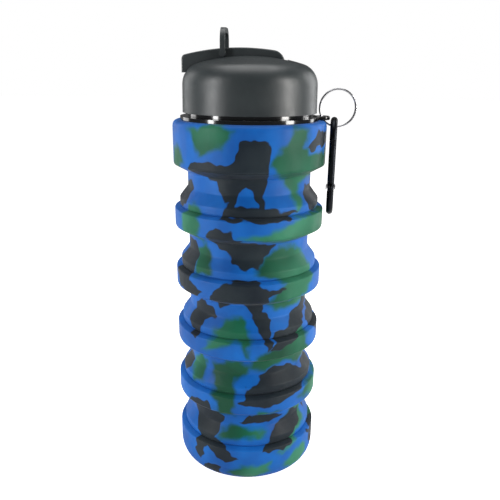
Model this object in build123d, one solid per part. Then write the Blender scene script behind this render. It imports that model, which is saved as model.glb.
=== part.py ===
from build123d import *
import os
from math import asin, cos, pi, radians, sin, sqrt

# Folding silicone water bottle, millimetres, +Z up.
# The origin is the centre of the flat underside. The spout lever runs along X (turned a
# little with the cap), and the carabiner hangs on the +X side.

os.makedirs("parts", exist_ok=True)

# ---- driving dimensions: silicone body ----
band_r = 36.0              # outer radius of every band
foot_r = 30.5              # radius of the flat the bottle stands on
foot_rise = 8.6            # height of the rounded foot
base_top = 18.7            # top edge of the base band
pitch = 29.4               # from one band's top edge to the next one's
grooves = 5
ledge_rise = 1.0           # small undercut above every band
shoulder_r = 33.4
shoulder_rise = 3.9
cone_rise = 5.2
waist_r = 29.4
waist_rise = 7.2
chamfer_rise = 3.5
wall = 2.2                 # silicone thickness
floor_t = 3.2
pad_r = 7.0                # middle of the underside, level with the foot
recess_r = 25.5            # shallow recess between the pad and the foot
recess_rise = 1.0
neck_band_h = 19.9         # top band, up to the flat under the collar
top_round = 3.0
edge_round = 0.5

# ---- driving dimensions: neck ----
bore_r = 24.5              # clear drinking opening of the neck
skirt_r = 29.4             # part of the neck that is gripped inside the silicone
skirt_h = 15.0
skirt_t = 2.9
collar_r = 32.3
collar_t = 1.6
collar_in = 3.5            # width of the collar from its rim to the neck
neck_r = 27.1              # threaded part
neck_h = 16.0              # neck above the top of the silicone
lug_reach = 37.5
lug_round = 0.5
lug_t = 1.8
lug_w = 8.0
slot_x = 34.0
slot_len = 3.0
slot_w = 4.0
slot_round = 0.9

# ---- driving dimensions: threads ----
thread_pitch = 3.0
thread_turns = 1.5
thread_depth = 0.8
thread_base = 1.5          # height of a ridge at its root
thread_crest = 0.6
thread_start = 6.0         # above the top of the silicone

# ---- driving dimensions: cap ----
cap_yaw = -4.0             # how far round the cap happens to be screwed
dome_gap = 3.2             # dome rim above the top of the silicone
dome_r = 31.15
dome_shoulder_r = 9.6      # round between the wall and the crown
dome_shoulder_z = 15.15    # centre of that round above the top of the silicone
crown_r = 84.1
dome_wall = 1.8
liner_hole_r = 22.5
liner_top = 18.95          # just under the channel
channel_half = 7.6
channel_floor = 21.0       # above the top of the silicone
notch_x = -25.6            # the floor drops a little outside this, under the thumb end
notch_floor = 20.0
channel_end = 17.0
channel_wall = 2.4
hinge_x = 10.3
hinge_rise = 24.7          # lever pin above the top of the silicone
hinge_end_r = 5.3          # round end of the lever about its pin
hinge_pin_r = 1.2
hinge_pocket = 5.9         # deeper end of the channel that lets the round end turn
running_fit = 0.05

# ---- driving dimensions: spout ----
spout_x = -6.0
spout_r = 5.0
spout_bore = 3.5
spout_top = 25.4           # above the top of the silicone
plug_tip = 22.8

# ---- driving dimensions: lever and finger loop ----
lever_half = 7.2
lever_round = 0.7
lever_tip = -30.4
lever_hook = 20.3          # underside of the thumb end above the silicone
lever_sole = 21.5          # underside of the rest
lever_lean = 8.0           # slope of the arched top where it leaves the hinge, degrees
lever_thumb = 3.6          # length of the low thumb end
lever_tip_top = 27.6
lever_roof = 27.9          # ceiling of the hollow under the lever
lever_skin = 2.4
loop_x = -11.7
loop_pin_rise = 28.6
loop_pin_r = 0.9
loop_top = 39.3
loop_half = 9.2            # outer half width
loop_pin_grip = 1.3        # how far the pin enters each leg
loop_bar = 2.2
loop_gap = 0.25            # between a leg and the lever
loop_corner = 6.0
loop_foot_r = 1.5

# ---- driving dimensions: key ring and carabiner ----
ring_x = 40.9
ring_rise = 5.4            # ring centre above the top of the silicone
ring_mid_r = 8.35
ring_wire = 0.9            # radial
ring_width = 1.9           # along the ring's axis
ring_relief = 0.35         # room for the ring in the silicone's top edge
relief_w = 4.8
snap_x = 39.6
snap_yaw = -8.0            # how far round the carabiner hangs from the YZ plane
snap_slack = 0.8           # from the ring's wire centre to the carabiner's inner face
rod_r = 1.65
snap_h = 45.5
snap_w = 22.0
snap_corner = 7.4          # bend radius of the rod's centre line
gate_low = 14.7            # gate rivet above the carabiner's bottom
gate_len = 21.0
tongue_t = 1.2
rivet_r = 0.75

body_top = base_top + grooves * pitch - (pitch - ledge_rise - shoulder_rise - cone_rise
                                         - waist_rise - chamfer_rise) + neck_band_h


def ring_of(points):
    """Solid of revolution about Z from a closed outline of (radius, height) points."""
    outline = make_face(Polyline(*[(r, 0, z) for r, z in points], close=True))
    return revolve(outline, Axis.Z, 360)


def tube(r_out, r_in, z_low, z_high):
    return ring_of([(r_in, z_low), (r_out, z_low), (r_out, z_high), (r_in, z_high)])


def disc(r, z_low, z_high):
    return Pos(0, 0, z_low) * extrude(Circle(r), z_high - z_low)


def bar_y(r, x, z, y_low, y_high):
    """Round bar along Y."""
    return Pos(x, (y_low + y_high) / 2, z) * Rot(90, 0, 0) * Cylinder(r, y_high - y_low)


def bar_x(r, y, z, x_low, x_high):
    """Round bar along X."""
    return Pos((x_low + x_high) / 2, y, z) * Rot(0, 90, 0) * Cylinder(r, x_high - x_low)


def block(x_low, x_high, y_low, y_high, z_low, z_high):
    size = (x_high - x_low, y_high - y_low, z_high - z_low)
    middle = ((x_low + x_high) / 2, (y_low + y_high) / 2, (z_low + z_high) / 2)
    return Pos(*middle) * Box(*size)


def save(shape, node):
    export_step(shape, "parts/" + node + ".step")


# ---- silicone body ----
def base_cup():
    """Closed bottom cup with a rounded foot and a shallow ring-shaped recess underneath."""
    outer = [(0, 0), (pad_r, 0), (pad_r + 0.6, recess_rise), (recess_r, recess_rise),
             (recess_r + 0.6, 0), (foot_r, 0)]
    steps = 8
    for k in range(1, steps + 1):
        a = pi / 2 * k / steps
        outer.append((foot_r + (band_r - foot_r) * sin(a), foot_rise * (1 - cos(a))))
    outer += [(band_r, base_top - edge_round), (band_r - edge_round, base_top),
              (shoulder_r, base_top + ledge_rise)]
    inner = [(shoulder_r - wall, base_top + ledge_rise), (band_r - wall, base_top - wall),
             (band_r - wall, foot_rise + 1), (foot_r - 1, floor_t), (0, floor_t)]
    return ring_of(outer + inner)


def band_ring(z_low):
    """One stiff outer band between two folding walls."""
    z_top = z_low + pitch - (ledge_rise + shoulder_rise + cone_rise + waist_rise + chamfer_rise)
    return ring_of([
        (band_r - wall, z_low), (band_r - edge_round, z_low), (band_r, z_low + edge_round),
        (band_r, z_top - edge_round), (band_r - edge_round, z_top),
        (shoulder_r, z_top + ledge_rise), (shoulder_r - wall, z_top + ledge_rise),
        (band_r - wall, z_top - wall)])


def groove_wall(z_low):
    """Folding wall between two bands: shoulder, cone, waist and chamfer."""
    z = [z_low + ledge_rise]
    for rise in (shoulder_rise, cone_rise, waist_rise, chamfer_rise):
        z.append(z[-1] + rise)
    slip = wall * 0.55
    return ring_of([
        (shoulder_r, z[0]), (shoulder_r, z[1]), (waist_r, z[2]), (waist_r, z[3]),
        (band_r - edge_round, z[4]), (band_r - wall, z[4]), (waist_r - wall, z[3] + slip),
        (waist_r - wall, z[2] - slip), (shoulder_r - wall, z[1] - slip),
        (shoulder_r - wall, z[0])])


def neck_band(z_low):
    """Top band, thick enough inside to grip the skirt of the neck."""
    outer = [(band_r - wall, z_low), (band_r - edge_round, z_low), (band_r, z_low + edge_round)]
    steps = 6
    for k in range(steps + 1):
        a = pi / 2 * k / steps
        outer.append((band_r - top_round * (1 - cos(a)), body_top - top_round * (1 - sin(a))))
    grip = body_top - skirt_h
    band = ring_of(outer + [(skirt_r, body_top), (skirt_r, grip), (band_r - wall, grip - 3.5)])
    relief_r = ring_mid_r + ring_wire / 2 + ring_relief
    return band - bar_y(relief_r, ring_x, body_top + ring_rise, -relief_w / 2, relief_w / 2)


# ---- threads ----
def thread(root_r, crest_r, z_start):
    """Helical ridge of trapezoid section; crest_r < root_r makes an inside thread."""
    path = Pos(0, 0, z_start) * Helix(thread_pitch, thread_pitch * thread_turns, root_r)
    sunk = 0.3 if crest_r > root_r else -0.3
    low, high = thread_base / 2 + 0.1, thread_crest / 2
    section = make_face(Polyline(
        (root_r - sunk, 0, z_start - low), (crest_r, 0, z_start - high),
        (crest_r, 0, z_start + high), (root_r - sunk, 0, z_start + low), close=True))
    return sweep(section, path=path, is_frenet=True)


# ---- neck ----
def neck_insert():
    """Stiff threaded neck: skirt in the silicone, seat for the collar, thread, lip."""
    top = body_top + neck_h
    body = ring_of([
        (skirt_r - skirt_t, body_top - skirt_h), (skirt_r - 1, body_top - skirt_h),
        (skirt_r, body_top - skirt_h + 1.5), (skirt_r, body_top), (collar_r - collar_in, body_top),
        (collar_r - collar_in, body_top + collar_t), (28.6, body_top + collar_t),
        (28.6, body_top + 3.9), (neck_r, body_top + 4.4), (neck_r, top - 0.6),
        (neck_r - 0.6, top), (bore_r, top), (bore_r, body_top - 2),
        (skirt_r - skirt_t, body_top - 5)])
    return body + thread(neck_r, neck_r + thread_depth, body_top + thread_start)


def neck_collar():
    """Glossy ring under the cap, with the lug that carries the key ring."""
    low = body_top
    ring = tube(collar_r, collar_r - collar_in + 0.03, low, low + collar_t)
    tab = block(31, lug_reach - lug_w / 2, -lug_w / 2, lug_w / 2, low, low + lug_t)
    tab += Pos(lug_reach - lug_w / 2, 0, 0) * disc(lug_w / 2, low, low + lug_t)
    slot = Pos(slot_x, 0, low - 1) * extrude(RectangleRounded(slot_len, slot_w, slot_round),
                                             lug_t + 2)
    rims = [e for e in tab.edges() if e.center().X > slot_x - 2 and abs(e.tangent_at(0.5).Z) < 0.5]
    return ring + fillet(rims, lug_round) - slot


# ---- cap ----
def crown_profile(inset):
    """Half outline of the dome, moved inwards by inset: wall, round, crown, axis."""
    centre_r = dome_r - 0.2 - dome_shoulder_r
    centre_z = body_top + dome_shoulder_z
    crown_z = centre_z - sqrt((crown_r - dome_shoulder_r) ** 2 - centre_r ** 2)
    turn = asin(centre_r / (crown_r - dome_shoulder_r))
    small = dome_shoulder_r - inset
    big = crown_r - inset
    half = (pi / 2 - turn) / 2

    def on_round(a):
        return (centre_r + small * cos(a), centre_z + small * sin(a))

    def on_crown(a):
        return (big * sin(a), crown_z + big * cos(a))

    return on_round(0), on_round(half), on_round(2 * half), on_crown(turn / 2), on_crown(0)


def dome_solid(inset, z_low, foot_radius):
    """Full dome body from z_low up."""
    side, mid, join, arch, top = [(r, 0, z) for r, z in crown_profile(inset)]
    low = (foot_radius, 0, z_low)
    edges = [Line(low, side), ThreePointArc(side, mid, join), ThreePointArc(join, arch, top),
             Line(top, (0, 0, z_low)), Line((0, 0, z_low), low)]
    return revolve(make_face(edges), Axis.Z, 360)


def channel(extra, floor_drop):
    """Slot across the crown for the lever, with a deeper end under the lever's hinge."""
    low = body_top + channel_floor - floor_drop
    high = body_top + 40
    half = channel_half + extra
    slot = block(-40, channel_end + extra, -half, half, low, high)
    deep = body_top + hinge_rise - hinge_pocket - floor_drop
    pocket = block(hinge_x - hinge_pocket - extra, channel_end + extra, -half, half, deep, high)
    cut = slot + pocket
    if not extra:
        cut += block(-40, notch_x, -half, half, body_top + notch_floor, high)
    return cut


def cap_dome():
    rim = body_top + dome_gap
    shell = dome_solid(0, rim, dome_r) - channel(0, 0)
    room = dome_solid(dome_wall, rim - 1, dome_r - dome_wall) - channel(channel_wall, 2.0)
    shell -= room
    shell -= bar_y(hinge_pin_r, hinge_x, body_top + hinge_rise, -9.6, 9.6)
    shell -= Pos(spout_x, 0, 0) * disc(spout_r, body_top + 10, body_top + 30)
    return shell


def cap_liner():
    """Threaded ring pressed into the dome, with the ledge that holds the seal."""
    root_r = neck_r + thread_depth + 0.45
    low, high = body_top + dome_gap + 1.2, body_top + liner_top
    side_r, side_z = crown_profile(dome_wall)[0]
    taper = (dome_r - dome_wall - side_r) / (side_z - (body_top + dome_gap - 1))
    low_r = side_r + taper * (side_z - low)
    seat = body_top + neck_h + 1.4
    body = ring_of([(root_r, low), (low_r, low), (side_r, side_z), (side_r - 1.2, high),
                    (liner_hole_r, high), (liner_hole_r, seat), (root_r, seat)])
    start = body_top + thread_start + thread_pitch / 2
    return body + thread(root_r, root_r - thread_depth, start)


def cap_seal():
    """Soft flat ring between the neck's lip and the cap."""
    low = body_top + neck_h
    return tube(neck_r + 0.6, bore_r - 1.0, low + 0.04, low + 1.36)


def spout_nozzle():
    """Drinking nozzle through the channel floor, flanged underneath."""
    floor_under = body_top + channel_floor - 2.0
    top = body_top + spout_top
    profile = [(spout_bore, floor_under - 5), (spout_r - 0.4, floor_under - 5),
               (spout_r - 0.4, floor_under - 1.4), (7.0, floor_under - 1.4), (7.0, floor_under),
               (spout_r - 0.03, floor_under), (spout_r - 0.03, top - 0.8), (spout_r - 0.8, top),
               (spout_bore, top)]
    return Pos(spout_x, 0, 0) * ring_of(profile)


def spout_plug():
    """Soft stopper under the lever: flat pad with a tapered nub in the spout's bore."""
    top = body_top + lever_roof
    face = body_top + spout_top + 0.05
    tip = body_top + plug_tip
    return Pos(spout_x, 0, 0) * ring_of([(0, tip), (2.0, tip), (2.6, tip + 0.6), (2.6, face),
                                         (5.0, face), (5.0, top), (0, top)])


def flip_lever():
    """Lever lying in the channel: arched top, thumb hook at -X, round hinge end at +X."""
    def z(rise):
        return body_top + rise

    hinge = (hinge_x, z(hinge_rise))
    lean_x, lean_z = sin(radians(lever_lean)), cos(radians(lever_lean))
    top_end = (hinge_x + hinge_end_r * lean_x, hinge[1] + hinge_end_r * lean_z)
    low_end = (hinge_x, z(hinge_rise - hinge_end_r))
    side_end = (hinge_x + hinge_end_r, hinge[1])
    tip_top = (lever_tip + 0.1, z(lever_tip_top))
    heel = (lever_tip + lever_thumb, z(lever_hook))
    step = (heel[0] + 1.8, z(lever_sole))
    points = [
        ThreePointArc(low_end, side_end, top_end),
        TangentArc(top_end, tip_top, tangent=(-lean_z, lean_x)),
        Line(tip_top, (lever_tip, z(lever_hook))),
        Line((lever_tip, z(lever_hook)), heel),
        Line(heel, step),
        Line(step, (4.5, z(lever_sole))),
        Line((4.5, z(lever_sole)), low_end)]
    outline = make_face([Plane.XZ.from_local_coords(e) for e in points])
    brow = outline.vertices().sort_by_distance((tip_top[0], 0, tip_top[1]))[0]
    body = extrude(fillet([brow], 2.0), lever_half, both=True)
    rims = [e for e in body.edges() if abs(abs(e.center().Y) - lever_half) < 0.01]
    body = fillet(rims, lever_round)
    # Hollow underneath, leaving a skin, so the spout has room.
    body -= block(-18, 2.6, -5.6, 5.6, z(lever_sole - 3), z(lever_roof))
    body -= block(-24, -18, -5.6, 5.6, z(lever_sole - 3), z(lever_roof - lever_skin))
    body -= bar_y(hinge_pin_r + running_fit, *hinge, -8, 8)
    body -= bar_y(loop_pin_r, loop_x, z(loop_pin_rise), -8, 8)
    return body


def finger_loop():
    """Upright bail whose two legs straddle the lever."""
    low, high = body_top + loop_pin_rise, body_top + loop_top
    gap = lever_half + loop_gap
    frame = RectangleRounded(2 * loop_half, 2 * (high - low), loop_corner)
    hole = RectangleRounded(2 * gap, 2 * (high - low - loop_bar), loop_corner - loop_bar)
    arch = Plane.YZ.offset(loop_x) * Pos(0, low) * (frame - hole)
    body = extrude(arch, loop_bar / 2, both=True)
    body &= block(-40, 40, -40, 40, low, high + 1)
    for side in (-1, 1):
        body += bar_y(loop_foot_r, loop_x, low, *sorted((side * gap, side * loop_half)))
    reach = gap + loop_pin_grip + 0.1
    return body - bar_y(loop_pin_r + running_fit, loop_x, low, -reach, reach)


# ---- key ring and carabiner ----
def key_ring():
    flat = tube(ring_mid_r + ring_wire / 2, ring_mid_r - ring_wire / 2,
                -ring_width / 2, ring_width / 2)
    flat = fillet(flat.edges(), 0.4)
    return Pos(ring_x, 0, body_top + ring_rise) * Rot(90, 0, 0) * flat


wire_z = body_top + ring_rise - sqrt(ring_mid_r ** 2 - (ring_x - snap_x) ** 2)
snap_top = wire_z + snap_slack + 2 * rod_r
snap_bottom = snap_top - snap_h
side_y = snap_w / 2 - rod_r
rivet_z = snap_bottom + gate_low
nose_z = rivet_z + gate_len


def carabiner_frame():
    """Bent rod from the gate's rivet round to the nose, flattened at both ends."""
    low, high = snap_bottom + rod_r, snap_top - rod_r
    shoulder = rivet_z - 2.2
    path = FilletPolyline(
        (0, -side_y, shoulder), (0, -side_y, low), (0, side_y, low), (0, side_y, high),
        (0, -side_y, high), (0, -side_y, nose_z + 0.3), radius=snap_corner)
    start = Plane(origin=(0, -side_y, shoulder), z_dir=(0, 0, -1))
    body = sweep(start * Circle(rod_r), path=path)
    half = tongue_t / 2
    for z_low, z_high in ((shoulder - 0.5, rivet_z), (nose_z - 1.9, nose_z + 0.8)):
        body += block(-half, half, -side_y - 1.4, -side_y + 1.4, z_low, z_high)
    body += bar_x(1.4, -side_y, rivet_z, -half, half)
    body -= bar_x(rivet_r + running_fit, -side_y, rivet_z, -3, 3)
    return body


def carabiner_gate():
    """Straight gate, forked at the rivet and slotted at the nose."""
    foot = rivet_z
    body = Pos(0, -side_y, foot) * extrude(Circle(rod_r), gate_len)
    body += Pos(0, -side_y, foot) * Sphere(rod_r)
    half = tongue_t / 2 + 0.15
    for z_low, z_high in ((foot - 3, foot + 2.0), (nose_z - 2.3, nose_z + 2)):
        body -= block(-half, half, -side_y - 3, -side_y + 3, z_low, z_high)
    body -= Pos(0, -side_y, foot + 1.8) * extrude(Circle(0.8), 10.2)
    body -= bar_x(rivet_r + running_fit, -side_y, foot, -3, 3)
    return body


def gate_rivet():
    shank = bar_x(rivet_r, -side_y, rivet_z, -2.1, 2.1)
    for side in (-1, 1):
        shank += bar_x(1.3, -side_y, rivet_z, *sorted((side * 1.72, side * 2.3)))
    return shank


def gate_spring():
    """Spring wire lying in the gate's bore, its foot close over the frame's tongue."""
    return Pos(0, -side_y, rivet_z + 2.2) * extrude(Circle(0.4), 9.8)


# ---- write every piece ----
save(base_cup(), "base_cup")
for n in range(grooves):
    groove_low = base_top + n * pitch
    band_low = groove_low + ledge_rise + shoulder_rise + cone_rise + waist_rise + chamfer_rise
    save(groove_wall(groove_low), "groove_wall_%d" % (n + 1))
    if n < grooves - 1:
        save(band_ring(band_low), "band_ring_%d" % (n + 1))
    else:
        save(neck_band(band_low), "neck_band")

save(neck_insert(), "neck_insert")
save(neck_collar(), "neck_collar")

turned = Rot(0, 0, cap_yaw)
lever_pin = bar_y(hinge_pin_r, hinge_x, body_top + hinge_rise, -9.6, 9.6)
pin_half = lever_half + loop_gap + loop_pin_grip
loop_pin = bar_y(loop_pin_r, loop_x, body_top + loop_pin_rise, -pin_half, pin_half)
cap_pieces = {
    "cap_dome": cap_dome(), "cap_liner": cap_liner(), "cap_seal": cap_seal(),
    "spout_nozzle": spout_nozzle(), "spout_plug": spout_plug(), "flip_lever": flip_lever(),
    "lever_pin": lever_pin, "finger_loop": finger_loop(), "loop_pin": loop_pin}
for name, piece in cap_pieces.items():
    save(turned * piece, name)

save(key_ring(), "key_ring")
hung = Pos(snap_x, 0, 0) * Rot(0, 0, snap_yaw)
save(hung * carabiner_frame(), "carabiner_frame")
save(hung * carabiner_gate(), "carabiner_gate")
save(hung * gate_rivet(), "gate_rivet")
save(hung * gate_spring(), "gate_spring")
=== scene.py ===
import bpy
import math
import numpy as np
from mathutils import Matrix, Vector, noise


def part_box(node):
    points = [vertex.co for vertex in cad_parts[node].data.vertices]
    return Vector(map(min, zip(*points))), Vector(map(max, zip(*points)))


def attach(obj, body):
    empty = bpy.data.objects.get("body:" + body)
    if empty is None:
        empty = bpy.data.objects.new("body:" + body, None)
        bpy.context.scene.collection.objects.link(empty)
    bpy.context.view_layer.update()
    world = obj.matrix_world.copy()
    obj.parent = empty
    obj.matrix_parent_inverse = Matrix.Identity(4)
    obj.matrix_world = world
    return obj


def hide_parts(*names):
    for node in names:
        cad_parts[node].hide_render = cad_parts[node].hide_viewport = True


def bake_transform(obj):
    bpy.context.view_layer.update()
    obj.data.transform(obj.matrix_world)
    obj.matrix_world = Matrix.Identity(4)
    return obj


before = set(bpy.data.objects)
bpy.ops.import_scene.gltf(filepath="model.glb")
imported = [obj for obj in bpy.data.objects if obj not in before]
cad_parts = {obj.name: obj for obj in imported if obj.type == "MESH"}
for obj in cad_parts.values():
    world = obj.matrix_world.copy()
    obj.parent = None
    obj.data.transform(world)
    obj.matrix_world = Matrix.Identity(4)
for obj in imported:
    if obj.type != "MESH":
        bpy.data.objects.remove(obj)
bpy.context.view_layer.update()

noise.seed_set(11)         # the same camouflage every time

# Lengths are in millimetres and become metres by MM.
MM = 0.001
SEGMENTS = 288             # around the bottle
RING_STEP = 0.8            # between rings on the patterned silicone
GROOVES = 5
WALL = 2.2                 # silicone thickness
FLOOR_T = 3.2              # thickness of the silicone under the drink
FOOT_RISE = 8.6            # height of the rounded foot
TOP_ROUND = 3.0            # round on the silicone's top edge
GRIP_TAPER = 3.5           # slope under the part that grips the neck
PATTERN_R = 34             # radius at which the pattern's degrees are unrolled
PATTERN_H = 177            # height over which the back's patches are turned over
PATTERN_TURN = 172         # degrees from a front patch's place to its twin's on the back
RING_RELIEF = 0.35         # room for the key ring in the silicone
RELIEF_HALF = 2.4
RELIEF_FADE = 0.8


# ---------------------------------------------------------------- meshes
def add_object(name, data):
    obj = bpy.data.objects.new(name, data)
    bpy.context.scene.collection.objects.link(obj)
    return obj


def mesh_piece(name, points, faces, material):
    """Smooth mesh object from points in millimetres."""
    mesh = bpy.data.meshes.new(name)
    mesh.from_pydata([tuple(c * MM for c in p) for p in points], [], faces)
    mesh.validate()
    mesh.polygons.foreach_set("use_smooth", [True] * len(mesh.polygons))
    mesh.materials.append(material)
    return add_object(name, mesh)


def rounded(outline, radius, steps=5):
    """The closed outline with each corner turned into an arc. An entry may hold its own radius."""
    result = []
    count = len(outline)
    for k in range(count):
        here = outline[k]
        p = Vector(here[:2])
        before = Vector(outline[k - 1][:2])
        after = Vector(outline[(k + 1) % count][:2])
        r = here[2] if len(here) > 2 else radius
        a, b = (before - p), (after - p)
        turn = a.angle(b)
        if r <= 0 or turn > math.pi - 0.02:
            result.append(p)
            continue
        cut = min(r / math.tan(turn / 2), 0.45 * a.length, 0.45 * b.length)
        start, end = p + a.normalized() * cut, p + b.normalized() * cut
        for s in range(steps + 1):
            t = s / steps
            result.append(start * (1 - t) ** 2 + p * 2 * t * (1 - t) + end * t ** 2)
    return result


def resampled(points, step):
    """The closed outline with no span longer than step."""
    result = []
    for k, p in enumerate(points):
        q = points[(k + 1) % len(points)]
        pieces = max(1, math.ceil((q - p).length / step))
        result += [p.lerp(q, s / pieces) for s in range(pieces)]
    return result


def lathe(name, outline, material, segments=SEGMENTS):
    """Solid of revolution about Z from a closed outline of (radius, height) vectors."""
    points, faces = [], []
    angle = [2 * math.pi * s / segments for s in range(segments)]
    start = []
    for p in outline:
        start.append(len(points))
        if p.x < 1e-6:
            points.append((0, 0, p.y))
        else:
            points += [(p.x * math.cos(a), p.x * math.sin(a), p.y) for a in angle]
    for k in range(len(outline)):
        n = (k + 1) % len(outline)
        low_axis, high_axis = outline[k].x < 1e-6, outline[n].x < 1e-6
        if low_axis and high_axis:
            continue
        for s in range(segments):
            t = (s + 1) % segments
            low = [start[k]] if low_axis else [start[k] + s, start[k] + t]
            high = [start[n]] if high_axis else [start[n] + t, start[n] + s]
            faces.append(low + high)
    return mesh_piece(name, points, faces, material)


# ---------------------------------------------------------------- materials
def new_material(name):
    material = bpy.data.materials.new(name)
    material.use_nodes = True
    tree = material.node_tree
    shader = tree.nodes["Principled BSDF"]
    return material, tree, shader


def add(tree, kind, **values):
    node = tree.nodes.new(kind)
    for key, value in values.items():
        setattr(node, key, value)
    return node


def noise_node(tree, scale, detail=4.0, roughness=0.55, coords=None):
    node = add(tree, "ShaderNodeTexNoise")
    node.inputs["Scale"].default_value = scale
    node.inputs["Detail"].default_value = detail
    node.inputs["Roughness"].default_value = roughness
    if coords is None:
        coords = add(tree, "ShaderNodeTexCoord").outputs["Object"]
    tree.links.new(coords, node.inputs["Vector"])
    return node.outputs["Fac"]


def ramp(tree, source, stops):
    """Colour ramp from (position, colour) stops; a colour is a number or an RGB."""
    node = add(tree, "ShaderNodeValToRGB")
    while len(node.color_ramp.elements) < len(stops):
        node.color_ramp.elements.new(0.5)
    for element, (place, colour) in zip(node.color_ramp.elements, stops):
        element.position = place
        rgb = (colour,) * 3 if isinstance(colour, (int, float)) else colour
        element.color = (*rgb, 1.0)
    tree.links.new(source, node.inputs["Fac"])
    return node.outputs["Color"]


def mix(tree, factor, a, b):
    node = add(tree, "ShaderNodeMix", data_type="RGBA")
    for value, socket in ((factor, node.inputs[0]), (a, node.inputs[6]), (b, node.inputs[7])):
        if isinstance(value, bpy.types.NodeSocket):
            tree.links.new(value, socket)
        elif isinstance(value, tuple):
            socket.default_value = (*value, 1.0)
        else:
            socket.default_value = value
    return node.outputs[2]


def bump(tree, shader, layers, rounding=0.0):
    """Chain of bumps from (height socket, distance in mm), over softened edges."""
    normal = None
    if rounding:
        edge = add(tree, "ShaderNodeBevel", samples=6)
        edge.inputs["Radius"].default_value = rounding * MM
        normal = edge.outputs["Normal"]
    for height, distance in layers:
        node = add(tree, "ShaderNodeBump")
        node.inputs["Distance"].default_value = distance * MM
        tree.links.new(height, node.inputs["Height"])
        if normal is not None:
            tree.links.new(normal, node.inputs["Normal"])
        normal = node.outputs["Normal"]
    tree.links.new(normal, shader.inputs["Normal"])


def srgb(r, g, b):
    """Linear colour from 0-255 display values."""
    def line(v):
        v /= 255
        return v / 12.92 if v <= 0.04045 else ((v + 0.055) / 1.055) ** 2.4
    return (line(r), line(g), line(b))


def moulded(name, colour, worn, rough, grain_mm, grain_depth, rounding=0.25, coat=0.0):
    """Moulded plastic: fine spark-eroded grain, faint cloudy tone and uneven gloss."""
    material, tree, shader = new_material(name)
    cloud = noise_node(tree, 60, 5, 0.6)
    tone = ramp(tree, cloud, [(0.35, colour), (0.72, worn)])
    tree.links.new(tone, shader.inputs["Base Color"])
    smear = noise_node(tree, 140, 6, 0.7)
    gloss = ramp(tree, smear, [(0.3, rough * 0.86), (0.75, min(1.0, rough * 1.16))])
    tree.links.new(gloss, shader.inputs["Roughness"])
    grain = noise_node(tree, 1 / (grain_mm * MM), 2, 0.5)
    waves = noise_node(tree, 90, 2, 0.5)
    bump(tree, shader, [(waves, grain_depth * 2), (grain, grain_depth)], rounding)
    shader.inputs["Coat Weight"].default_value = coat
    shader.inputs["Coat Roughness"].default_value = 0.04
    return material


def metal(name, colour, rough, streak_scale, rounding=0.15):
    """Metal with drawn streaks, small pits and handling marks."""
    material, tree, shader = new_material(name)
    shader.inputs["Metallic"].default_value = 1.0
    coords = add(tree, "ShaderNodeTexCoord").outputs["Object"]
    stretch = add(tree, "ShaderNodeMapping")
    stretch.inputs["Scale"].default_value = streak_scale
    tree.links.new(coords, stretch.inputs["Vector"])
    streaks = noise_node(tree, 400, 4, 0.6, stretch.outputs["Vector"])
    marks = noise_node(tree, 220, 6, 0.65)
    dark = tuple(c * 0.72 for c in colour)
    tree.links.new(ramp(tree, marks, [(0.3, dark), (0.6, colour)]), shader.inputs["Base Color"])
    gloss = ramp(tree, streaks, [(0.3, rough * 0.7), (0.75, min(1.0, rough * 1.5))])
    tree.links.new(gloss, shader.inputs["Roughness"])
    bump(tree, shader, [(streaks, 0.01), (marks, 0.012)], rounding)
    return material


def camouflage():
    """Through-coloured silicone: blue, with soft green clouds and crisp dark patches."""
    material, tree, shader = new_material("camouflage_silicone")
    place = add(tree, "ShaderNodeAttribute", attribute_name="rest").outputs["Vector"]
    green = add(tree, "ShaderNodeAttribute", attribute_name="green").outputs["Fac"]
    dark = add(tree, "ShaderNodeAttribute", attribute_name="dark").outputs["Fac"]
    clouds = noise_node(tree, 0.06, 3, 0.5, place)
    drift = noise_node(tree, 0.025, 2, 0.5, place)
    blue = ramp(tree, clouds, [(0.3, srgb(0, 74, 150)), (0.7, srgb(4, 98, 182))])
    leaf = ramp(tree, drift, [(0.38, srgb(8, 68, 46)), (0.5, srgb(16, 88, 62)),
                              (0.64, srgb(46, 120, 90))])
    black = ramp(tree, clouds, [(0.35, srgb(12, 24, 34)), (0.7, srgb(30, 40, 46))])

    def edge(distance, ragged, fine, low, high):
        wobble = noise_node(tree, fine, 4, 0.6, place)
        shift = add(tree, "ShaderNodeMath", operation="MULTIPLY_ADD")
        tree.links.new(wobble, shift.inputs[0])
        shift.inputs[1].default_value = ragged
        tree.links.new(distance, shift.inputs[2])
        band = add(tree, "ShaderNodeMapRange", interpolation_type="SMOOTHSTEP")
        band.inputs["From Min"].default_value = low + ragged / 2
        band.inputs["From Max"].default_value = high + ragged / 2
        tree.links.new(shift.outputs[0], band.inputs["Value"])
        return band.outputs["Result"]

    soft = edge(green, 2.6, 0.2, -1.8, 1.6)
    crisp = edge(dark, 0.5, 0.4, -0.3, 0.3)
    colour = mix(tree, crisp, mix(tree, soft, blue, leaf), black)
    tree.links.new(colour, shader.inputs["Base Color"])
    smear = noise_node(tree, 0.12, 5, 0.65, place)
    tree.links.new(ramp(tree, smear, [(0.3, 0.46), (0.7, 0.58)]), shader.inputs["Roughness"])
    skin = noise_node(tree, 3.2, 3, 0.6, place)
    swell = noise_node(tree, 0.09, 2, 0.5, place)
    bump(tree, shader, [(swell, 0.5), (skin, 0.012)])
    shader.inputs["Specular IOR Level"].default_value = 0.22
    shader.inputs["Sheen Weight"].default_value = 0.05
    shader.inputs["Sheen Roughness"].default_value = 0.45
    return material


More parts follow.
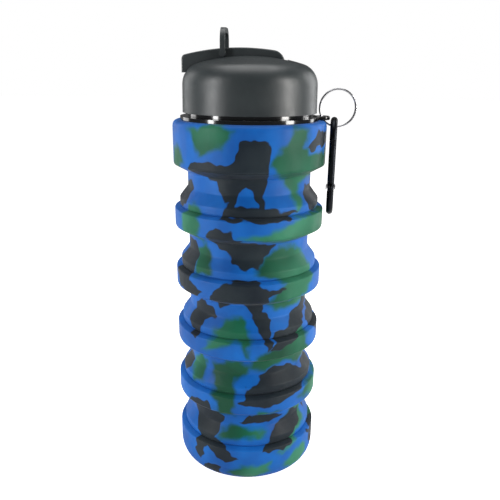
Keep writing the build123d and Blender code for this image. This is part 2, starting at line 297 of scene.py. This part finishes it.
SILICONE = camouflage()
CAP = moulded("cap_plastic", srgb(34, 40, 42), srgb(44, 50, 52), 0.4, 0.16, 0.012)
LEVER = moulded("lever_plastic", srgb(36, 42, 44), srgb(46, 51, 53), 0.42, 0.16, 0.012)
INNER = moulded("liner_plastic", srgb(52, 57, 60), srgb(60, 65, 68), 0.38, 0.25, 0.006)
NECK = moulded("neck_gloss", srgb(10, 12, 15), srgb(15, 17, 20), 0.14, 0.5, 0.001, coat=0.5)
SPOUT = moulded("spout_plastic", srgb(30, 34, 36), srgb(38, 42, 44), 0.25, 0.3, 0.003)
SEAL = moulded("seal_silicone", srgb(176, 180, 182), srgb(192, 195, 196), 0.5, 0.3, 0.008)
STEEL = metal("ring_steel", srgb(196, 196, 200), 0.2, (1.0, 6.0, 1.0))
PIN = metal("pin_steel", srgb(180, 180, 184), 0.3, (6.0, 1.0, 6.0))
ANODISED = metal("black_anodised", srgb(34, 36, 40), 0.34, (4.0, 4.0, 1.0), 0.3)


# ---------------------------------------------------------------- camouflage pattern
# Patches on the unrolled body as outlines of (degrees round from the front, height in mm).
DARK = [
    [(-50, 157), (-40, 161), (-20, 160), (-9, 164), (-5, 170), (5, 172), (13, 171), (14, 163),
     (15, 155), (13, 141), (30, 140), (45, 138), (20, 136), (-23, 137), (-18, 143), (-30, 152)],
    [(42, 167), (50, 171), (60, 174), (76, 172), (80, 168), (66, 166)],
    [(-92, 146), (-70, 151), (-61, 148), (-60, 142), (-74, 138), (-92, 137)],
    [(54, 143), (62, 149), (75, 148), (92, 151), (97, 141), (78, 138), (62, 138)],
    [(-34, 124), (-27, 131), (-22, 134), (-12, 131), (-5, 127), (10, 124), (26, 124), (18, 119),
     (10, 113), (-2, 113), (-14, 116), (-21, 119)],
    [(-76, 122), (-58, 124), (-50, 114), (-49, 105), (-37, 101), (-48, 97), (-66, 100), (-78, 108)],
    [(-29, 103), (-22, 106), (-6, 108), (6, 108), (16, 105), (32, 104), (16, 101), (14, 92),
     (22, 87), (20, 80), (16, 72), (11, 80), (6, 90), (-3, 97), (-14, 94), (-28, 92)],
    [(16, 73), (24, 80), (36, 84), (50, 89), (64, 94), (84, 92), (70, 88), (50, 82), (34, 75)],
    [(-60, 93), (-48, 95), (-36, 92), (-28, 87), (-38, 83), (-44, 75), (-50, 77), (-60, 82)],
    [(58, 83), (72, 87), (92, 88), (97, 78), (74, 75)],
    [(-5, 46), (2, 53), (12, 58), (28, 61), (44, 60), (62, 57), (82, 60), (92, 56), (64, 50),
     (40, 46), (14, 43)],
    [(-74, 33), (-56, 38), (-44, 43), (-32, 44), (-30, 37), (-24, 32), (-29, 20), (-38, 15),
     (-42, 7), (-49, 11), (-46, 21), (-52, 27)],
    [(-33, 19), (-26, 24), (-17, 18), (-5, 14), (-16, 11), (-27, 12)],
    [(-9, 31), (0, 35), (14, 34), (26, 35), (38, 33), (20, 30)],
    [(12, 18), (22, 24), (36, 29), (52, 33), (66, 31), (52, 23), (32, 17)],
    [(-42, 2), (-34, 8), (-22, 8), (-24, 2)],
    [(-92, 61), (-72, 61), (-62, 56), (-74, 51), (-90, 51)],
    [(62, 17), (74, 22), (94, 19), (92, 8), (74, 5)],
]
WINDOWS = [[(-13, 142), (-9, 148), (-2, 151), (5, 147), (9, 142)]]
GREEN = [
    [(-47, 174), (-24, 177), (-9, 174), (-20, 167), (-38, 164)],
    [(-76, 166), (-60, 166), (-54, 160), (-62, 155), (-76, 155)],
    [(16, 160), (22, 168), (34, 176), (48, 175), (40, 167), (60, 164), (84, 165), (90, 155),
     (62, 151), (50, 149), (47, 141), (38, 137), (40, 147), (28, 154)],
    [(-60, 135), (-54, 142), (-42, 141), (-38, 131), (-48, 124), (-57, 127)],
    [(-4, 128), (12, 131), (34, 135), (60, 138), (90, 136), (94, 127), (64, 127), (34, 125)],
    [(-56, 120), (-44, 124), (-36, 118), (-33, 110), (-46, 108)],
    [(6, 111), (18, 119), (30, 124), (46, 122), (60, 116), (64, 109), (52, 100), (38, 96),
     (14, 97), (22, 102), (30, 106)],
    [(12, 97), (30, 97), (60, 97), (92, 98), (92, 92), (60, 92), (26, 93)],
    [(-38, 72), (-30, 80), (-20, 88), (-4, 88), (4, 79), (2, 70), (-6, 77), (-22, 76)],
    [(4, 62), (8, 71), (24, 75), (38, 80), (50, 86), (54, 74), (64, 66), (84, 66), (80, 60),
     (56, 60), (36, 63), (18, 60)],
    [(-37, 62), (-20, 65), (6, 63), (0, 58), (-11, 56), (-8, 44), (-14, 35), (-28, 34), (-26, 46)],
    [(-64, 60), (-52, 64), (-43, 61), (-42, 53), (-54, 50)],
    [(-26, 26), (-14, 29), (8, 28), (18, 26), (-6, 23), (-22, 22)],
    [(6, 34), (12, 41), (28, 40), (34, 36)],
    [(40, 30), (58, 35), (72, 32), (64, 25), (46, 19), (28, 15), (44, 24)],
    [(-18, 4), (-8, 9), (8, 9), (20, 11), (20, 4), (0, 1)],
    [(30, 6), (42, 13), (56, 14), (60, 7), (44, 2)],
    [(46, 44), (62, 49), (86, 50), (94, 45), (70, 40)],
]


def distance_inside(x, y, outline):
    """Distance in mm to the outline, positive inside it."""
    inside = np.zeros(len(x), bool)
    nearest = np.full(len(x), 1e9)
    for k in range(len(outline)):
        (ax, ay), (bx, by) = outline[k - 1], outline[k]
        dx, dy = bx - ax, by - ay
        t = np.clip(((x - ax) * dx + (y - ay) * dy) / (dx * dx + dy * dy), 0, 1)
        nearest = np.minimum(nearest, np.hypot(x - ax - t * dx, y - ay - t * dy))
        crosses = (ay > y) != (by > y)
        with np.errstate(divide="ignore", invalid="ignore"):
            at = ax + (y - ay) / (dy if dy else 1e-9) * dx
        inside ^= crosses & (x < at)
    return np.where(inside, nearest, -nearest)


def field(x, y, outlines):
    """Largest inside distance over all patches, on the front and turned over on the back."""
    per_degree = math.radians(PATTERN_R)
    best = np.full(len(x), -1e9)
    for outline in outlines:
        front = [(a * per_degree, z) for a, z in outline]
        back = [((PATTERN_TURN - a) * per_degree, PATTERN_H - z) for a, z in outline]
        for shape in (front, back):
            for lap in (-360, 0, 360):
                moved = [(px + lap * per_degree, py) for px, py in shape]
                if max(p[0] for p in moved) < x.min() - 20 or min(p[0] for p in moved) > x.max() + 20:
                    continue
                best = np.maximum(best, distance_inside(x, y, moved))
    return best


def warp(x, y, z):
    """Smooth sideways and upward shift of the pattern, in mm."""
    shift = np.empty((len(x), 2))
    for k, p in enumerate(zip(x, y, z)):
        coarse = noise.noise_vector(Vector(p) * 0.11)
        fine = noise.noise_vector(Vector(p) * 0.3)
        shift[k] = (coarse.x * 2.6 + fine.x * 1.7, coarse.y * 2.2 + fine.y * 1.5)
    return shift


def paint(obj):
    """Stores each point's place at rest and its distance into the green and dark patches."""
    mesh = obj.data
    co = np.empty(len(mesh.vertices) * 3)
    mesh.vertices.foreach_get("co", co)
    co = co.reshape(-1, 3) / MM
    across = np.arctan2(co[:, 0], -co[:, 1]) * PATTERN_R
    shift = warp(*co.T)
    x, y = across + shift[:, 0], co[:, 2] + shift[:, 1]
    dark = field(x, y, DARK)
    dark = np.minimum(dark, -field(x, y, WINDOWS))
    values = {"dark": dark, "green": field(x, y, GREEN)}
    for name, value in values.items():
        layer = mesh.attributes.new(name, "FLOAT", "POINT")
        layer.data.foreach_set("value", np.clip(value, -6, 6).astype(np.float32))
    rest = mesh.attributes.new("rest", "FLOAT_VECTOR", "POINT")
    rest.data.foreach_set("vector", co.astype(np.float32).ravel())


# ---------------------------------------------------------------- silicone body
def heights(node):
    low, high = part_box(node)
    return low.z / MM, high.z / MM


BAND_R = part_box("band_ring_1")[1].x / MM
SHOULDER_R, WAIST_R, FOOT_R = 33.4, 29.4, 30.5
LEDGE = 1.0                # rise of the undercut over each band
SHOULDER, CONE, WAIST = 3.9, 5.2, 7.2


def silicone_piece(name, outline, node, body=None, between=None):
    piece = lathe(name, resampled(outline, RING_STEP), SILICONE)
    paint(piece)
    if between:
        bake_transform(piece)
    else:
        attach(piece, body)
    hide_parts(node)
    return piece


def band_outline(low, top):
    """Band between two folding walls: chamfer below, ledge above."""
    return [(BAND_R - WALL, low, 0), (BAND_R - 0.25, low, 0), (BAND_R, low + 0.7, 0.6),
            (BAND_R, top, 0.7), (SHOULDER_R, top + LEDGE, 0), (SHOULDER_R - WALL, top + LEDGE, 0),
            (BAND_R - WALL, top - WALL, 1.0)]


def wall_outline(low, high):
    z1 = low + SHOULDER
    z2 = z1 + CONE
    z3 = z2 + WAIST
    notch = 0.4
    return [(SHOULDER_R - notch, low, 0), (SHOULDER_R - notch, low + 0.35, 0.1),
            (SHOULDER_R, low + 0.7, 0.2), (SHOULDER_R, z1, 1.2), (WAIST_R, z2, 1.6),
            (WAIST_R, z3, 0.8), (BAND_R - 0.25, high, 0), (BAND_R - WALL, high, 0),
            (WAIST_R - WALL, z3 + 1.2, 1.0), (WAIST_R - WALL, z2 - 1.2, 1.0),
            (SHOULDER_R - WALL, z1 - 1.2, 1.0), (SHOULDER_R - WALL, low, 0)]


def base_outline(top):
    foot = [(FOOT_R, 0, 0)]
    steps = 8
    for k in range(1, steps + 1):
        a = math.pi / 2 * k / steps
        foot.append((FOOT_R + (BAND_R - FOOT_R) * math.sin(a), FOOT_RISE * (1 - math.cos(a)), 0))
    under = [(0, 0, 0), (7, 0, 0.3), (7.8, 0.8, 0.3), (15.6, 0.8, 0.2), (16.0, 0.45, 0.1),
             (16.8, 0.45, 0.1), (17.2, 0.8, 0.2), (25.2, 0.8, 0.4), (26.1, 0, 0.4)]
    rim = top - LEDGE
    return under + foot + [
        (BAND_R, rim, 0.7), (SHOULDER_R, top, 0), (SHOULDER_R - WALL, top, 0),
        (BAND_R - WALL, rim - WALL, 1.0), (BAND_R - WALL, 10, 4), (FOOT_R - 1, FLOOR_T, 3),
        (0, FLOOR_T, 0)]


def neck_outline(low, top):
    grip_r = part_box("neck_insert")[1].x / MM
    grip_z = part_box("neck_insert")[0].z / MM
    return [(BAND_R - WALL, low, 0), (BAND_R - 0.25, low, 0), (BAND_R, low + 0.7, 0.6),
            (BAND_R, top, TOP_ROUND), (grip_r, top, 0.2), (grip_r, grip_z, 0.4),
            (BAND_R - WALL, grip_z - GRIP_TAPER, 1.0)]


def relieve(piece):
    """Hollow in the top edge of the silicone where the key ring passes."""
    low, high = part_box("key_ring")
    centre = (low + high) / 2 / MM
    reach = (high.x - low.x) / 2 / MM + RING_RELIEF
    for vertex in piece.data.vertices:
        x, y, z = vertex.co / MM
        if abs(y) > RELIEF_HALF + RELIEF_FADE or x < 0:
            continue
        gap = Vector((x - centre.x, z - centre.z))
        if gap.length < reach:
            fade = 1 - min(max((abs(y) - RELIEF_HALF) / RELIEF_FADE, 0), 1)
            moved = gap.normalized() * reach * fade + gap * (1 - fade)
            vertex.co.x = (centre.x + moved.x) * MM
            vertex.co.z = (centre.z + moved.y) * MM


def silicone_body():
    chain = ["base"] + ["band_%d" % n for n in range(1, GROOVES)] + ["neck"]
    silicone_piece("base_silicone", rounded(base_outline(heights("base_cup")[1]), 0.5),
                   "base_cup", body="base")
    for n in range(1, GROOVES + 1):
        node = "groove_wall_%d" % n
        silicone_piece("fold_silicone_%d" % n, rounded(wall_outline(*heights(node)), 0.5),
                       node, between=(chain[n - 1], chain[n]))
    for n in range(1, GROOVES):
        node = "band_ring_%d" % n
        low, high = heights(node)
        silicone_piece("band_silicone_%d" % n, rounded(band_outline(low, high - LEDGE), 0.5),
                       node, body="band_%d" % n)
    neck = silicone_piece("neck_silicone", rounded(neck_outline(*heights("neck_band")), 0.5),
                          "neck_band", body="neck")
    relieve(neck)


# ---------------------------------------------------------------- split ring
def split_ring():
    """Two touching coils of flat wire, with the step where the ends cross over."""
    low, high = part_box("key_ring")
    centre = (low + high) / 2 / MM
    outer = (high.x - low.x) / 2 / MM
    half_width = (high.y - low.y) / 2 / MM
    wire = 0.86
    middle = outer - wire / 2
    coil = half_width / 2 - 0.04
    turns, steps = 1.93, 220
    corner = 0.4
    section = rounded([(-wire / 2, -coil), (wire / 2, -coil), (wire / 2, coil), (-wire / 2, coil)],
                      corner, 4)
    points, faces = [], []
    start = math.radians(-62)
    for k in range(steps + 1):
        t = k / steps
        a = start + 2 * math.pi * turns * t
        step = min(max((t - 0.46) / 0.08, 0), 1)
        y = (-1 + 2 * step * step * (3 - 2 * step)) * (coil + 0.01)
        for p in section:
            r = middle + p.x
            points.append((centre.x + r * math.cos(a), centre.y + y + p.y,
                           centre.z + r * math.sin(a)))
    n = len(section)
    for k in range(steps):
        for s in range(n):
            t = (s + 1) % n
            faces.append([k * n + s, k * n + t, (k + 1) * n + t, (k + 1) * n + s])
    faces.append(list(range(n))[::-1])
    faces.append([steps * n + s for s in range(n)])
    piece = mesh_piece("split_ring", points, faces, STEEL)
    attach(piece, "ring")
    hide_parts("key_ring")
    return piece


# ---------------------------------------------------------------- CAD pieces keep their shape
def dress_cad():
    finish = {
        "neck_insert": NECK, "neck_collar": NECK, "cap_dome": CAP, "cap_liner": INNER,
        "cap_seal": SEAL, "spout_nozzle": SPOUT, "spout_plug": SEAL, "flip_lever": LEVER,
        "finger_loop": LEVER, "lever_pin": PIN, "loop_pin": LEVER, "carabiner_frame": ANODISED,
        "carabiner_gate": ANODISED, "gate_rivet": PIN, "gate_spring": PIN}
    for node, material in finish.items():
        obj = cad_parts[node]
        obj.data.materials.clear()
        obj.data.materials.append(material)


# ---------------------------------------------------------------- camera, light and floor
def add_camera():
    distance, height = 289.6, 199.4
    pitch, roll = math.radians(90 - 19.94), math.radians(0.56)
    data = bpy.data.cameras.new("camera")
    data.sensor_width = 36
    data.lens = 43.0776
    data.shift_x, data.shift_y = 0.0039, 0.0704
    data.clip_start, data.clip_end = 0.01, 20
    camera = add_object("camera", data)
    camera.matrix_world = (Matrix.Translation((0, -distance * MM, height * MM))
                           @ Matrix.Rotation(pitch, 4, "X") @ Matrix.Rotation(roll, 4, "Z"))
    bpy.context.scene.camera = camera


def area_light(name, place, aim, size, power, colour=(1, 1, 1)):
    data = bpy.data.lights.new(name, "AREA")
    data.shape = "RECTANGLE"
    data.size, data.size_y = size
    data.energy = power
    data.color = colour
    light = add_object(name, data)
    direction = Vector(aim) - Vector(place)
    light.location = place
    light.rotation_euler = direction.to_track_quat("-Z", "Y").to_euler()


def studio():
    area_light("left_box", (-0.68, -0.34, 0.26), (0, 0, 0.12), (0.14, 0.7), 5.6)
    area_light("right_box", (0.70, -0.30, 0.26), (0, 0, 0.12), (0.20, 0.7), 7.0, (1, 0.98, 0.95))
    area_light("left_rim", (-0.60, 0.45, 0.25), (0, 0, 0.12), (0.3, 0.6), 1.2)
    area_light("right_rim", (0.60, 0.45, 0.25), (0, 0, 0.12), (0.3, 0.6), 2.2)
    area_light("top_box", (0.0, 0.10, 0.90), (0, 0, 0.1), (0.7, 0.6), 4.5)
    world = bpy.data.worlds.new("studio")
    bpy.context.scene.world = world
    world.use_nodes = True
    tree = world.node_tree
    seen = add(tree, "ShaderNodeLightPath").outputs["Is Camera Ray"]
    strength = add(tree, "ShaderNodeMapRange")
    strength.inputs["To Min"].default_value = 0.1
    strength.inputs["To Max"].default_value = 1.0
    tree.links.new(seen, strength.inputs["Value"])
    background = tree.nodes["Background"]
    background.inputs["Color"].default_value = (1, 1, 1, 1)
    tree.links.new(strength.outputs["Result"], background.inputs["Strength"])
    material, tree, shader = new_material("pale_floor")
    paper = noise_node(tree, 30, 4, 0.5)
    tree.links.new(ramp(tree, paper, [(0.3, 0.86), (0.7, 0.9)]), shader.inputs["Base Color"])
    shader.inputs["Roughness"].default_value = 0.9
    shader.inputs["Emission Color"].default_value = (1, 1, 1, 1)
    glow = add(tree, "ShaderNodeMath", operation="MULTIPLY")
    glow.inputs[1].default_value = 0.95
    tree.links.new(add(tree, "ShaderNodeLightPath").outputs["Is Camera Ray"], glow.inputs[0])
    tree.links.new(glow.outputs[0], shader.inputs["Emission Strength"])
    reach = 4000
    level = -0.05          # just under the bottle, so the two flats don't flicker
    floor = mesh_piece("floor", [(-reach, -reach, level), (reach, -reach, level),
                                 (reach, reach, level), (-reach, reach, level)],
                       [[0, 1, 2, 3]], material)


add_camera()
silicone_body()
split_ring()
dress_cad()
studio()
bpy.context.scene.view_settings.view_transform = "Standard"
